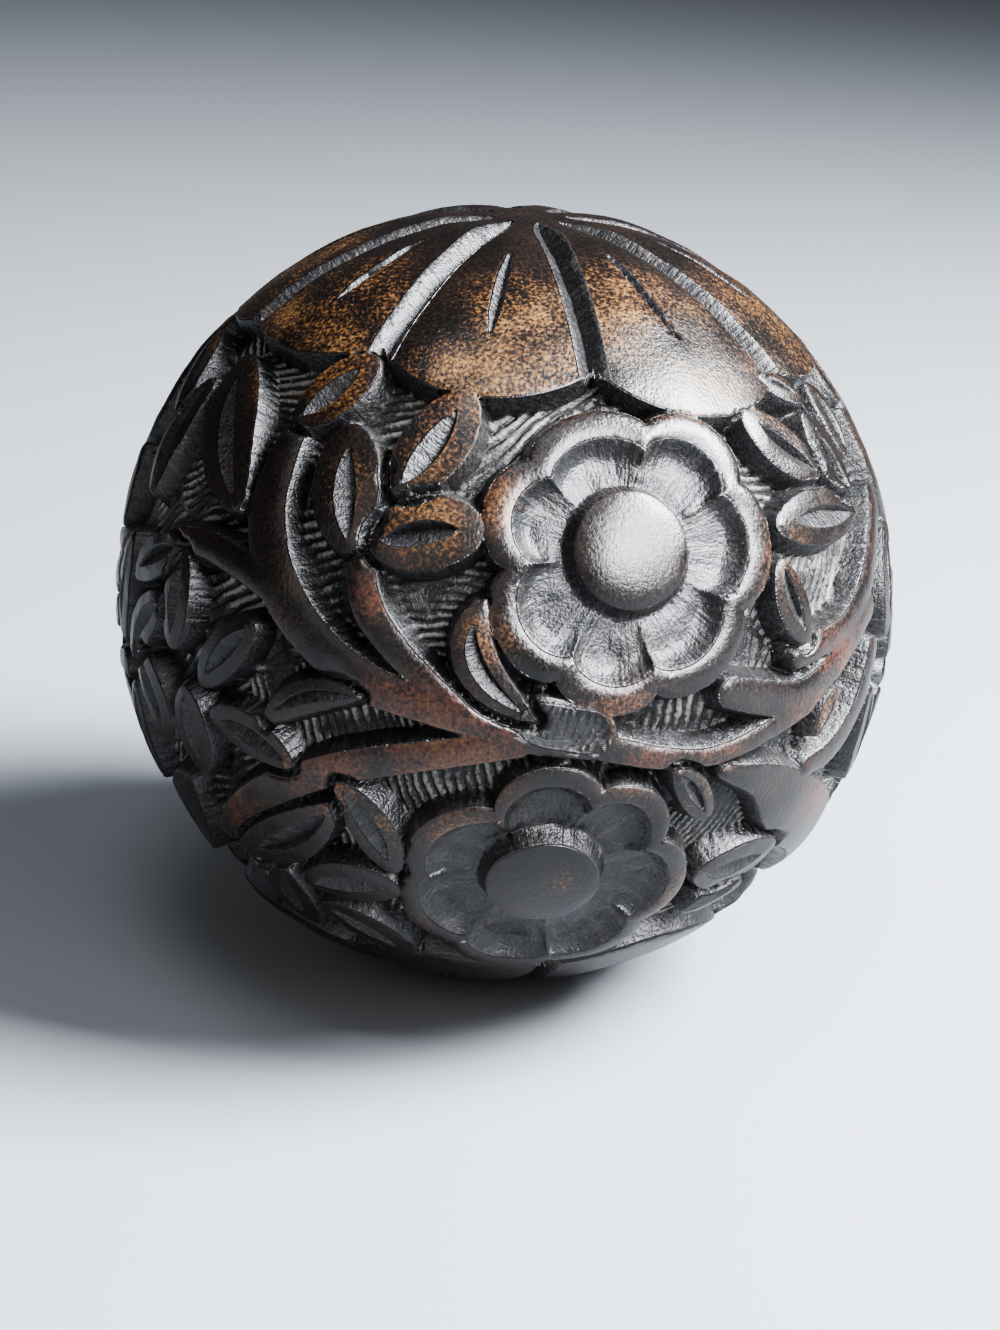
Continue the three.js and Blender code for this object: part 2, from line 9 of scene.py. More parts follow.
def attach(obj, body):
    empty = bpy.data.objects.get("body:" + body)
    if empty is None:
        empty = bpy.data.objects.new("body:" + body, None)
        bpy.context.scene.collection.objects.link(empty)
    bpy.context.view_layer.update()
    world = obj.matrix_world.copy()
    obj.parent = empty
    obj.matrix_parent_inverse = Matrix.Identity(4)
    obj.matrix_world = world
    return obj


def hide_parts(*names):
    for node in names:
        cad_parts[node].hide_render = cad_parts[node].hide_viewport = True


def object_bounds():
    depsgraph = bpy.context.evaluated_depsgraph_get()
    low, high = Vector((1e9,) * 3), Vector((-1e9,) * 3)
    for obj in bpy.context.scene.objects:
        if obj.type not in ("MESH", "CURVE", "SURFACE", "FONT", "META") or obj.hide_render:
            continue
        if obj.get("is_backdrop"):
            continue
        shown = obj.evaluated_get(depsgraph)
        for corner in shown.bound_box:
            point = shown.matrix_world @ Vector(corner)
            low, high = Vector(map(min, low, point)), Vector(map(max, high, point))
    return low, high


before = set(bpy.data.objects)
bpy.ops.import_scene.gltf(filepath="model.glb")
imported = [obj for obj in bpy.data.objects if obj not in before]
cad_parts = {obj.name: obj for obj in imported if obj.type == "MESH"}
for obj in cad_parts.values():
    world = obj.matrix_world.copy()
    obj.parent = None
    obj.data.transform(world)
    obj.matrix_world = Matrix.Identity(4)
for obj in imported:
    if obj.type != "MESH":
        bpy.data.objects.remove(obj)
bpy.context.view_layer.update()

# The place: the ball stands on a plain pale floor, in soft light from windows to its right. It is seen from
# about a foot away and a little above, in a view that leans a few degrees to one side.
FOOT_HEIGHT = 0.049  # from the floor to the middle of the ball
VIEW_FROM = (0, -0.29837, 0.10099)  # both places are measured from the middle of the ball
VIEW_TO = (0.00006, -0.00325, -0.00875)
VIEW_LEAN = 3.80  # degrees
VIEW_LENS = 65.66  # millimetres
FLOOR_HALF = 3.0
FLOOR_COLOUR = (0.37, 0.385, 0.405, 1)
FLOOR_ROUGHNESS = 0.85
ROOM_COLOUR = (0.80, 0.85, 0.92, 1)
ROOM_LIGHT = 0.12

middle = Vector((0, 0, FOOT_HEIGHT))
camera = bpy.data.objects.new("camera", bpy.data.cameras.new("camera"))
camera.data.lens = VIEW_LENS
camera.data.sensor_width = 36
camera.data.sensor_fit = "AUTO"
camera.data.clip_start = 0.01
toward = Vector(VIEW_TO) - Vector(VIEW_FROM)
turn = toward.to_track_quat("-Z", "Y").to_matrix() @ Matrix.Rotation(math.radians(VIEW_LEAN), 3, "Z")
camera.matrix_world = Matrix.Translation(middle + Vector(VIEW_FROM)) @ turn.to_4x4()
bpy.context.scene.collection.objects.link(camera)
bpy.context.scene.camera = camera

form = bmesh.new()
bmesh.ops.create_grid(form, x_segments=1, y_segments=1, size=FLOOR_HALF)
floor_mesh = bpy.data.meshes.new("floor")
form.to_mesh(floor_mesh)
form.free()
floor = bpy.data.objects.new("floor", floor_mesh)
bpy.context.scene.collection.objects.link(floor)
paper = bpy.data.materials.new("pale_paper")
paper.use_nodes = True
surface = paper.node_tree.nodes["Principled BSDF"]
surface.inputs["Base Color"].default_value = FLOOR_COLOUR
surface.inputs["Roughness"].default_value = FLOOR_ROUGHNESS
floor_mesh.materials.append(paper)
floor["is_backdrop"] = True

room = bpy.data.worlds.new("room")
room.use_nodes = True
room.node_tree.nodes["Background"].inputs["Color"].default_value = ROOM_COLOUR
room.node_tree.nodes["Background"].inputs["Strength"].default_value = ROOM_LIGHT
bpy.context.scene.world = room
bpy.context.scene.view_settings.look = "AgX - High Contrast"

# Each lamp has its name, its place from the middle of the ball, width and height, watts and colour. The side
# window only shows as a gloss on the wax.
for name, place, size, watts, colour in (
    ("window", (0.52, -0.06, 0.54), (0.36, 0.36), 30, (0.90, 0.95, 1)),
    ("side_window", (0.42, -0.48, 0.38), (0.40, 0.36), 17, (0.93, 0.94, 1)),
    ("skylight", (-0.10, -0.22, 0.75), (0.30, 0.30), 1.4, (0.86, 0.91, 1)),
    ("front_fill", (-0.45, -0.70, 0.35), (0.6, 0.6), 1.4, (1, 0.97, 0.93)),
):
    lamp = bpy.data.objects.new(name, bpy.data.lights.new(name, "AREA"))
    lamp.data.shape = "RECTANGLE"
    lamp.data.size, lamp.data.size_y = size
    lamp.data.energy = watts
    lamp.data.color = colour
    lamp.visible_diffuse = name != "side_window"
    aim = (-Vector(place)).to_track_quat("-Z", "Y").to_matrix().to_4x4()
    lamp.matrix_world = Matrix.Translation(middle + Vector(place)) @ aim
    bpy.context.scene.collection.objects.link(lamp)

# The carved ball: a turned ball of close-grained wood, carved all over by hand. The ground is cut back about
# 3 mm, so that petals, flowers, leaves and stems stand above it. It is stained nearly black, waxed, and worn
# on its tops.
MM = 0.001
BALL_RADIUS = 0.050
MILLIMETRE = MM / BALL_RADIUS  # as an angle at the middle of the ball, in radians
WALL_RUN = 1.2 * MILLIMETRE  # how far a motif's wall leans out on its way down
CUT_WIDTH = 1.4 * MILLIMETRE  # of the groove that sets a leaf off from what it touches
MARGIN = 3.2 * MILLIMETRE  # how far outside its outline a motif is still felt
SWELL_WAVES = 9
SWELL_STRETCH = (0.7, 1.4)
SWELL_PEAK = 4.2


# Longitude 0 is the front, and longitude grows to the right as one faces it.
def direction(longitude, latitude):
    east, north = np.radians(longitude), np.radians(latitude)
    sideways = np.cos(north) * np.sin(east)
    return np.stack([sideways, -np.cos(north) * np.cos(east), np.sin(north) + 0 * sideways], -1)


def unit(vectors):
    return vectors / np.linalg.norm(vectors, axis=-1, keepdims=True)


def smooth_step(low, high, value):
    share = np.clip((value - low) / (high - low), 0, 1)
    return share * share * (3 - 2 * share)


# Slow swells that never repeat, as a hand leaves them: a few waves in seeded directions, from about -1 to 1
def hand_swell(points, length, seed):
    chance = np.random.default_rng(seed)
    waves = unit(chance.normal(size=(SWELL_WAVES, 3))) * chance.uniform(*SWELL_STRETCH, (SWELL_WAVES, 1))
    phases = chance.uniform(0, 2 * np.pi, SWELL_WAVES)
    return np.sin(points @ waves.T * (2 * np.pi / (length * MILLIMETRE)) + phases).sum(1) / SWELL_PEAK


# A band of changing width along a spine. Every motif says what the knife meets at some places on the ball:
# how far outside the outline they are, how far along and across the motif, how much its top is crowned and
# how deep it is grooved there, how far into a fresh cut they are, and how far from each of its creases.
# Crowns and grooves are in millimetres, and lengths along the surface are angles.
class Stroke:
    def __init__(self, spine, half_widths):
        self.spine, self.half = unit(spine), np.asarray(half_widths)
        self.middle = self.spine[len(self.spine) // 2]
        self.reach = np.linalg.norm(self.spine - self.middle, axis=1).max() + self.half.max()
        self.length = np.linalg.norm(np.diff(self.spine, axis=0), axis=1).sum()

    def near(self, points):
        return np.flatnonzero(np.linalg.norm(points - self.middle, axis=1) < self.reach + MARGIN)

    def measure(self, points):
        run = np.diff(self.spine, axis=0)
        offset = points[:, None] - self.spine[:-1]
        share = np.clip((offset * run).sum(-1) / (run * run).sum(-1), 0, 1)
        half = self.half[:-1] + share * np.diff(self.half)
        away = offset - share[..., None] * run
        span = np.linalg.norm(away, axis=-1)
        row, best = np.arange(len(points)), np.argmin(span - half, axis=1)
        side = np.sign((away[row, best] * np.cross(run, self.spine[:-1])[best]).sum(-1))
        along = (best + share[row, best]) / len(run)
        return span[row, best] - half[row, best], along, side * span[row, best], half[row, best]


# A stem runs smoothly through its stations, and is crowned a little.
class Stem(Stroke):
    STEPS = 6  # from one station to the next
    CROWN = 0.3
    UNCUT = -1.0
    red = 1.0

    def __init__(self, stations):
        stations = np.array(stations, float)
        knots = direction(stations[:, 0], stations[:, 1])
        ends = np.vstack([2 * knots[0] - knots[1], knots, 2 * knots[-1] - knots[-2]])
        spine, widths = [], []
        for step in range(self.STEPS * (len(knots) - 1) + 1):
            before = min(step // self.STEPS, len(knots) - 2)
            t = step / self.STEPS - before
            a, b, c, d = ends[before : before + 4]
            curve = 2 * b + (c - a) * t + (2 * a - 5 * b + 4 * c - d) * t**2 + (3 * b - a - 3 * c + d) * t**3
            spine.append(0.5 * curve)
            widths.append(np.radians(stations[before, 2] * (1 - t) + stations[before + 1, 2] * t) / 2)
        super().__init__(np.array(spine), widths)

    def carve(self, points):
        outside, along, side, half = self.measure(points)
        crown = self.CROWN * np.minimum(np.abs(side) / half, 1) ** 3
        uncut = np.full(len(points), self.UNCUT)
        return outside, along * self.length, side, crown, np.zeros_like(side), uncut, ()


# A leaf bends from its base through its middle to its tip and falls away to its edge. A lens-shaped vein is
# cut along its middle.
class Leaf(Stroke):
    STEPS = 12
    LEAN = 1.05  # above 1, a leaf is widest past its middle
    BLUNTNESS = 0.6  # a lower power makes a leaf blunter
    POINT = 0.06  # least width of its ends, in shares of its width
    FALL = 0.2
    VEIN_DEPTH = 1.3
    VEIN_HALF = np.radians(1.7)
    VEIN_BLUNTNESS = 0.7
    VEIN_LEAN = 0.55  # how far the vein's bottom lies off its middle, in shares of its half width
    VEIN_AROUND = 0.3 * VEIN_HALF  # how far past the vein's edge its bottom is still looked for
    UPWARD = 0.8
    BROAD = 7.5  # width, in degrees, from which a leaf has a full vein
    CUT_DEPTH = 1.7
    red = 0.15

    def __init__(self, width, base, through, tip):
        base, through, tip = direction(*base), direction(*through), direction(*tip)
        bend = 2 * through - 0.5 * base - 0.5 * tip
        t = np.linspace(0, 1, self.STEPS + 1)[:, None]
        spine = (1 - t) ** 2 * base + 2 * t * (1 - t) * bend + t**2 * tip
        fullness = np.maximum(np.sin(np.pi * t[:, 0] ** self.LEAN), 0) ** self.BLUNTNESS
        super().__init__(spine, np.maximum(fullness, self.POINT) * np.radians(width / 2))
        stations = self.spine[1 : self.STEPS - 1]
        at = (np.arange(len(stations)) + 0.4) / (len(stations) - 0.4)
        lens = np.maximum(np.sin(np.pi * at), 0) ** self.VEIN_BLUNTNESS
        self.vein = Stroke(stations, lens * self.VEIN_HALF * min(1, width / self.BROAD))
        # The knife goes in steeply on the side that lies up and to the right.
        across = np.cross(self.spine[-1] - self.spine[0], self.middle)
        rightward = unit(np.cross((0, 0, 1), self.middle))
        steep_side = rightward + np.array((0, 0, self.UPWARD))
        self.lean = self.VEIN_LEAN * np.sign(across @ steep_side)

    def carve(self, points):
        outside, along, side, half = self.measure(points)
        crown = self.FALL * np.minimum(np.abs(side) / half, 1) ** 2
        beyond, _, vein_side, vein_half = self.vein.measure(points)
        place = vein_side / vein_half - self.lean
        steep = place * self.lean > 0
        run = np.where(steep, 1 - abs(self.lean), 1 + abs(self.lean))
        vein = np.where(beyond < 0, vein_half / self.VEIN_HALF * (1 - np.abs(place) / run), 0)
        cut = np.maximum(1 - np.abs(2 * outside / CUT_WIDTH - 1), 0)
        groove = np.where(outside < 0, self.VEIN_DEPTH * np.maximum(vein, 0), self.CUT_DEPTH * cut)
        deepest = np.where(beyond < self.VEIN_AROUND, place * vein_half, 1)
        knife = np.where(outside < 0, -beyond, np.minimum(outside, CUT_WIDTH - outside))
        return outside, along * self.length, side, crown, groove, knife, (beyond, deepest)


# A flower has a rounded rim with a notch between every two lobes, a hollow scooped behind each lobe, and a
# domed boss in its middle.
class Flower:
    LOBE_BLUNTNESS = 0.6
    BOSS = np.radians(7.6)
    BOSS_CROWN = 0.25
    MOAT = np.radians(9.1)  # where the boss's wall reaches the bottom of the scoops
    MOAT_BEND = 0.8
    MOAT_SPREAD = 1.15  # how far out the scoops still run into it, in shares of its own distance
    SCOOP_WALL = np.radians(3.0)
    SCOOP_BEND = 2.2
    SCOOP_DEPTH = 2.7
    SCOOP_EVEN = 0.56  # share of a scoop's depth that is the same all over
    SCOOP_HOLLOW = 0.24  # share that grows from the ridges to the middle of the lobe
    SCOOP_FALL = 0.20  # share that grows from the rim to the moat
    RIDGE_RISE = 0.12  # how far a ridge between two scoops rises in the moat, in shares of the depth
    MIDWAY = 0.7  # of the way from the middle to the rim, where the length round the flower is taken
    FAR_NOTCH = 3
    red = 0.4

    def __init__(self, centre, notches, rim, rim_round, boss_round):
        self.middle = direction(*centre)
        self.east = unit(np.cross((0, 0, 1), self.middle))
        self.north = np.cross(self.middle, self.east)
        self.notches = np.array(notches, float)
        self.rim, self.rim_round, self.boss_round = np.radians(rim), rim_round, boss_round
        self.reach = np.radians(self.notches[:, 2].max())

    def near(self, points):
        return np.flatnonzero(points @ self.middle > math.cos(self.reach + MARGIN))

    def lobe(self, bearing):
        starts = self.notches[:, 0]
        found = np.searchsorted(starts, bearing, "right") - 1
        after = (found + 1) % len(starts)
        share = (bearing - starts[found]) % 360 / ((starts[after] - starts[found]) % 360)
        swell = np.maximum(np.sin(np.pi * share), 0) ** self.LOBE_BLUNTNESS
        depth, ahead = self.notches[found, 1], self.notches[after, 1]
        chord = depth + (ahead - depth) * share
        return np.radians(chord + (self.notches[found, 2] - (depth + ahead) / 2) * swell), swell

    def carve(self, points):
        reach = np.arccos(np.clip(points @ self.middle, -1, 1))
        bearing = np.degrees(np.arctan2(points @ self.east, points @ self.north)) % 360
        edge, swell = self.lobe(bearing)
        inside = edge - reach
        fallen = (inside - self.rim) / self.SCOOP_WALL
        steep = 1 - (1 - np.clip(fallen, 0, 1)) ** self.SCOOP_BEND
        gentle = np.clip(1 - (reach - self.MOAT) / (edge - self.MOAT), 0, 1)
        share = self.SCOOP_EVEN + self.SCOOP_HOLLOW * swell + self.SCOOP_FALL * gentle
        hollow = self.SCOOP_DEPTH * steep * share
        onto = np.clip((reach - self.BOSS) / (self.MOAT - self.BOSS), 0, 1) ** self.MOAT_BEND
        moat = self.SCOOP_DEPTH * (1 - self.RIDGE_RISE * (1 - swell))
        toward = smooth_step(self.MOAT_SPREAD, 1.0, reach / self.MOAT)
        hollow = hollow + (np.maximum(moat, hollow) - hollow) * toward
        boss = self.BOSS_CROWN * (reach / self.BOSS) ** 2
        boss = boss + self.boss_round * np.minimum(reach / self.BOSS, 1) ** 8
        scoop = np.where(reach < self.MOAT, boss + (moat - boss) * onto, hollow)
        band = np.clip(np.abs(2 * inside / self.rim - 1), 0, 1)
        crown = np.where(inside < self.rim, self.rim_round * band**3, self.rim_round * (reach > self.MOAT))
        gap = (bearing[:, None] - self.notches[:, 0] + 180) % 360 - 180
        ridge = gap[np.arange(len(gap)), np.abs(gap).argmin(1)]
        ridge = np.where((inside > self.rim) & (reach > self.MOAT), np.radians(ridge) * np.sin(reach), 1)
        knife = np.minimum(inside - self.rim, reach - self.BOSS)
        lines = (inside - self.rim, reach - self.BOSS, reach - self.MOAT, ridge)
        # The way round is counted up to a far notch and back, so that it meets itself without a jump.
        first, far = self.notches[0, 0], self.notches[self.FAR_NOTCH, 0] - self.notches[0, 0]
        around = np.interp((bearing - first) % 360, (0, far, 360), (0, far, 0))
        around = np.radians(around) * np.sin(self.MIDWAY * self.reach)
        return -inside, around, reach, crown, scoop, knife, lines


# Below the upper flower a broad chisel has pared the place where the stems meet, in rough parallel strokes
# that run downhill to the right.
class ChiselCut(Stroke):
    DEPTH = 0.6
    RUN_OUT = 1.2 * MILLIMETRE  # over which it comes up to the surface at its sides
    FRESH_FROM = 0.4 * MILLIMETRE
    STROKE = 0.9 * MILLIMETRE
    WANDER = 0.4  # of a stroke
    BEARING = math.radians(112)
    red = 0.0

    def __init__(self, start, end, width):
        super().__init__(direction(*np.array([start, end]).T), np.full(2, np.radians(width / 2)))
        east = unit(np.cross((0, 0, 1), self.middle))
        north = np.cross(self.middle, east)
        self.over = math.sin(self.BEARING) * east + math.cos(self.BEARING) * north
        self.down = np.cross(self.middle, self.over)

    def carve(self, points):
        outside, along, side, _ = self.measure(points)
        groove = self.DEPTH * smooth_step(0, 1, along) * self.share(outside)
        knife = -outside - self.FRESH_FROM
        return outside, points @ self.over, points @ self.down, np.zeros_like(side), groove, knife, ()

    def share(self, outside):
        return smooth_step(0, self.RUN_OUT, -outside)

    def strokes(self, points):
        return points @ self.over / self.STROKE + self.WANDER * hand_swell(points, length=4, seed=9)


# A rosette covers each pole: eight broad petals parted by V channels, each with a short vein.
class Rosette:
    PETAL_BLUNTNESS = 0.7
    CHANNEL_HALF = np.radians(2.2)
    CHANNEL_TAPER = np.radians(6)  # length over which a channel widens from its start near the pole
    CHANNEL_DEPTH = 2.0
    VEIN_HALF = np.radians(1.0)
    VEIN_SHAPE = np.array([0.5, 0.9, 1, 0.9, 0.3])
    VEIN_FROM, VEIN_TO = 19, 36  # degrees from the pole
    VEIN_DEPTH = 1.1
    FALL = 0.35  # of a petal towards its channels, and the distance over which it falls
    FALL_WIDTH = np.radians(4)
    red = 0.0

    def __init__(self, side, hub, channels):
        self.hub = np.radians(hub)
        self.channels = np.array(channels, float)
        self.middle = np.array((0, 0, side), float)
        self.veins = []
        for here, after in zip(self.channels[:, 0], np.roll(self.channels[:, 0], -1)):
            between = here + (after - here) % 360 / 2
            from_pole = np.linspace(self.VEIN_FROM, self.VEIN_TO, len(self.VEIN_SHAPE))
            spine = direction(between, side * (90 - from_pole))
            self.veins.append(Stroke(spine, self.VEIN_SHAPE * self.VEIN_HALF))

    def near(self, points):
        lowest = math.radians(90 - self.channels[:, 2].min()) + MARGIN
        return np.flatnonzero(points @ self.middle > math.cos(lowest))

    def carve(self, points):
        from_pole = np.arccos(np.clip(points @ self.middle, -1, 1))
        first = self.channels[0, 0]
        turn = (np.degrees(np.arctan2(points[:, 0], -points[:, 1])) - first) % 360
        starts = self.channels[:, 0] - first
        found = np.searchsorted(starts, turn, "right") - 1
        after = (found + 1) % len(starts)
        width = (starts[after] - starts[found]) % 360
        share = (turn - starts[found]) / width
        swell = np.maximum(np.sin(np.pi * share), 0) ** self.PETAL_BLUNTNESS
        notch, ahead = self.channels[found, 1], self.channels[after, 1]
        chord = notch + (ahead - notch) * share
        latitude = chord + (self.channels[found, 2] - (notch + ahead) / 2) * swell
        outside = from_pole - np.radians(90 - latitude)
        from_channel = np.minimum(share, 1 - share) * np.radians(width) * np.sin(from_pole)
        taper = np.sqrt(np.clip((from_pole - self.hub) / self.CHANNEL_TAPER, 0, 1))
        channel = np.maximum((self.CHANNEL_HALF * taper - from_channel) / self.CHANNEL_HALF, 0)
        groove = self.CHANNEL_DEPTH * channel
        vein_edge, vein_middle = np.ones(len(points)), np.ones(len(points))
        for vein in self.veins:
            near = vein.near(points)
            beyond, _, side, _ = vein.measure(points[near])
            groove[near] = np.maximum(groove[near], -self.VEIN_DEPTH * beyond / self.VEIN_HALF)
            vein_edge[near] = beyond
            vein_middle[near] = np.where(beyond < 0, side, 1)
        crown = self.FALL * np.exp(-((from_channel / self.FALL_WIDTH) ** 2)) * taper
        middle = np.where(share < 0.5, from_channel, -from_channel)
        lines = (from_channel - self.CHANNEL_HALF * taper, middle, vein_edge, vein_middle)
        return outside, from_pole, from_channel, crown, groove, np.maximum(-lines[0], -vein_edge), lines


# Each flower has its centre, its notches, the width of its rim in degrees, and how many millimetres its rim
# and its boss are rounded. A notch has its bearing, clockwise from north, its distance from the centre, and
# how far the lobe after it reaches, all in degrees.
flowers = [
    ((18, 24.5), [(13, 17, 21.3), (62, 18.8, 21), (117, 17.6, 20.8), (170.5, 18.8, 21.6),
                  (213, 19.2, 21.3), (264.7, 16.7, 20.1), (314, 17.6, 19.2)], 3.7, 0.3, 0.3),
    ((8.5, -24), [(21, 16.7, 20.2), (68, 16.5, 20.8), (125, 18.5, 22.4), (170, 20.5, 22.6),
                  (214, 18.4, 20.1), (268, 17.5, 18.9), (329, 14.8, 19.8)], 2.5, 0.15, 0.1),
]
# Each leaf has its width, then its base, middle and tip, in degrees of longitude and latitude.
leaves = [
    # left of the upper flower
    (9, (-17, 30.5), (-13, 37), (-9, 44.5)),
    (9.5, (-18.5, 23), (-12, 25.3), (-4.5, 26.5)),
    (9.5, (-22.5, 22), (-25.3, 29.5), (-27.5, 37)),
    (8, (-38.5, 37), (-34, 42), (-30, 47.5)),
    (5.5, (5, 2.5), (-3, 9.5), (-2.5, 17.5)),
    # the left side
    (10.5, (-43, 23), (-53, 32.5), (-61, 42)),
    (6, (-51.5, 15), (-51.3, 8), (-51, 1.5)),
    (6, (-53, 14.5), (-59, 12), (-65, 7.5)),
    (6.5, (-55, 6.5), (-60.5, 2), (-65, -4.5)),
    (8, (-61, -3), (-57.5, -8), (-53.5, -13)),
    (7.3, (-48, -4), (-47, -9.5), (-46, -15)),
    (6, (-35, 9), (-40, 4), (-44, -1.5)),
    (6, (-28, -9), (-35, -6.5), (-42, -5.5)),
    (4.2, (-18, 3), (-26, 1.3), (-32, -3.5)),
    # left of the lower flower
    (7.5, (-22, -14), (-31, -22.5), (-42, -28)),
    (6.3, (-21, -10), (-16.3, -16.5), (-13.5, -23.5)),
    (7.3, (-29.5, -30.5), (-21, -28), (-13.5, -27.5)),
    (7.5, (-34, -30), (-36, -37), (-36, -44)),
    (8, (-28, -36), (-21, -40), (-14.5, -46)),
    # right of the upper flower
    (5.5, (42.5, 20.8), (43.8, 15), (46.5, 9.5)),
    (7.5, (64, 23.5), (54, 25), (43.5, 25.5)),
    (7, (57, 30.5), (50.5, 35.5), (44.5, 41)),
    (6.5, (65, 26.5), (62.5, 32), (61.5, 38.5)),
    (3.5, (54, 46), (59, 43.5), (64, 40.5)),
    (5.5, (70, 31), (71, 36.5), (70, 42)),
    # right of the lower flower
    (3.2, (50, -5), (52, -2), (54, 0.5)),
    (4.3, (25, -5.5), (28.5, -9.5), (31.5, -14)),
    (8.5, (34.5, -24.5), (41, -25), (48.5, -23)),
    (4.6, (36, -34), (41, -31.8), (47, -31)),
]
# Each station of a stem has its longitude, latitude and width.
stems = [
    [(2, 1, 4), (-8, 3, 4.5), (-17, 5, 5), (-25, 9, 5.5), (-32, 15, 6), (-37, 23, 6), (-38, 31, 4.5),
     (-38, 37, 3)],
    [(-4, 2.5, 2.5), (-9, 6.3, 3), (-13.5, 9.8, 3.5), (-18, 14.5, 4), (-20.5, 20, 4)],
    [(-33, 14.5, 4), (-40, 16.3, 3.8), (-47, 17, 3.6), (-55, 16, 3)],
    [(3, -1, 3.5), (-8, -3.5, 4), (-19, -7, 4.3), (-27, -11, 4.3), (-34, -15.5, 4.5), (-40, -21, 4.5),
     (-45, -26, 3)],
    [(3, 0, 4), (14, -1.3, 3.4), (22, -3.3, 3), (30, -4, 2.6), (38, -2.3, 2.8), (47, 0.5, 3)],
    [(32.5, 4.6, 4), (39, 2.8, 4.5), (45, 1.8, 5), (51, 3.5, 4.5), (57, 6.5, 4), (64, 10, 3.5)],
    [(45, 7.5, 3), (51, 8.5, 3.6), (57, 9.5, 3.8), (63, 13, 4), (69, 17.5, 4), (76, 23, 4)],
    [(50, -10, 3), (57, -8.5, 4), (62, -4, 4), (66, 3, 4)],
    [(33, -6.8, 2), (41, -10, 5), (47, -14.5, 9), (53, -19, 11), (61, -24, 10), (70, -32, 7), (77, -40, 3)],
]
# Single leaves close the gaps on the sides and at the back.
fillers = [
    (6.5, (80, 18), (76, 11), (74, 3)),
    (7, (78, -7), (81, -14), (82, -21)),
    (6.5, (67, -3), (70, -11), (71, -19)),
    (6, (79, -22), (83, -29), (84, -37)),
    (6.5, (-66, 37), (-68.5, 28), (-67, 19)),
    (6, (-69.5, 12), (-70.5, 4), (-69.5, -4)),
    (6.5, (-65, -9), (-67.5, -17), (-66, -25)),
    (7.5, (-51, -19), (-56, -26), (-57, -35)),
    (7, (187, -16), (183, -21), (179, -28)),
    (7.5, (180, -34), (187, -38), (192, -45)),
]
# Each channel of a rosette has its longitude, the latitude of its notch in the rim, and the lowest latitude
# of the petal after it. The rosette below mirrors the one on top, and its channels start clear of the flat
# spot.
channels = [(-71, 48, 46), (-29, 50, 44.5), (15, 50, 41.5), (59, 46.5, 43),
            (105, 49, 44), (151, 49, 44), (197, 49, 44), (243, 49, 44)]
TOP_HUB = 5
FOOT_CLEARANCE = 1.5
LOWER_HUB = math.degrees(math.acos(FOOT_HEIGHT / BALL_RADIUS)) + FOOT_CLEARANCE
# Each repeat has its turn, and the longitudes of the front between which it takes the motifs.
repeats = [(122, -46, 66), (231, -46, 58)]


# The back repeats the middle of the front, turned about the upright through both rosettes. A stem that runs
# on past it is cut.
def repeat(turn, low, high):
    def within(place):
        return low <= place[0] <= high

    def turned(place):
        return (place[0] + turn, *place[1:])

    made = [Flower(turned(centre), *rest) for centre, *rest in flowers]
    for width, *places in leaves:
        if all(within(place) for place in places):
            made.append(Leaf(width, *map(turned, places)))
    for stations in stems:
        kept = [turned(station) for station in stations if within(station)]
        if len(kept) > 1:
            made.append(Stem(kept))
    return made


motifs = [Rosette(1, TOP_HUB, channels), Rosette(-1, LOWER_HUB, channels)]
motifs += repeat(0, -180, 180)
motifs += [motif for each in repeats for motif in repeat(*each)]
motifs += [Leaf(width, *places) for width, *places in fillers]
pared = ChiselCut(start=(6, 2.0), end=(12, 0.9), width=7)
motifs.append(pared)

# How the chisel's strokes run in the pockets of the ground: longitude and latitude of the pocket, bearing of
# the strokes, and their pitch in millimetres. They wander and tremble by a share of a stroke.
STROKE_WANDER, STROKE_TREMOR = 0.3, 0.1
pockets = [
    (-8, 33, 40, 1.3), (-8, 14, 85, 1.1), (-20, 40, 70, 1.3), (-30, 22, 60, 1.4), (25, 1, 10, 1.5),
    (-15, -5, 165, 1.2), (58, 17, 45, 1.2), (36, -8, 30, 1.1), (42, 34, 100, 1.2), (-42, 32, 70, 1.2),
    (-50, -20, 60, 1.3), (45, -38, 80, 1.3), (-12, -45, 10, 1.3), (70, -15, 45, 1.3), (-70, 25, 45, 1.3),
]


def chisel_waves(points):
    places, stacks, pitches = [], [], []
    for turn in (0, *(each[0] for each in repeats)):
        for longitude, latitude, bearing, pitch in pockets:
            place = direction(longitude + turn, latitude)
            east = unit(np.cross((0, 0, 1), place))
            north = np.cross(place, east)
            across = math.radians(bearing + 90)
            places.append(place)
            stacks.append(math.sin(across) * east + math.cos(across) * north)
            pitches.append(pitch * MILLIMETRE)
    nearest = (points @ np.array(places).T).argmax(1)
    phase = (points * np.array(stacks)[nearest]).sum(1) / np.array(pitches)[nearest]
    phase = phase + STROKE_WANDER * hand_swell(points, length=9, seed=3)
    return phase + STROKE_TREMOR * hand_swell(points, length=2.5, seed=5)


# Where a smooth bend replaces the sharp one of max(0, x)
def soft_ramp(x, bend):
    return bend * np.logaddexp(0, x / bend)


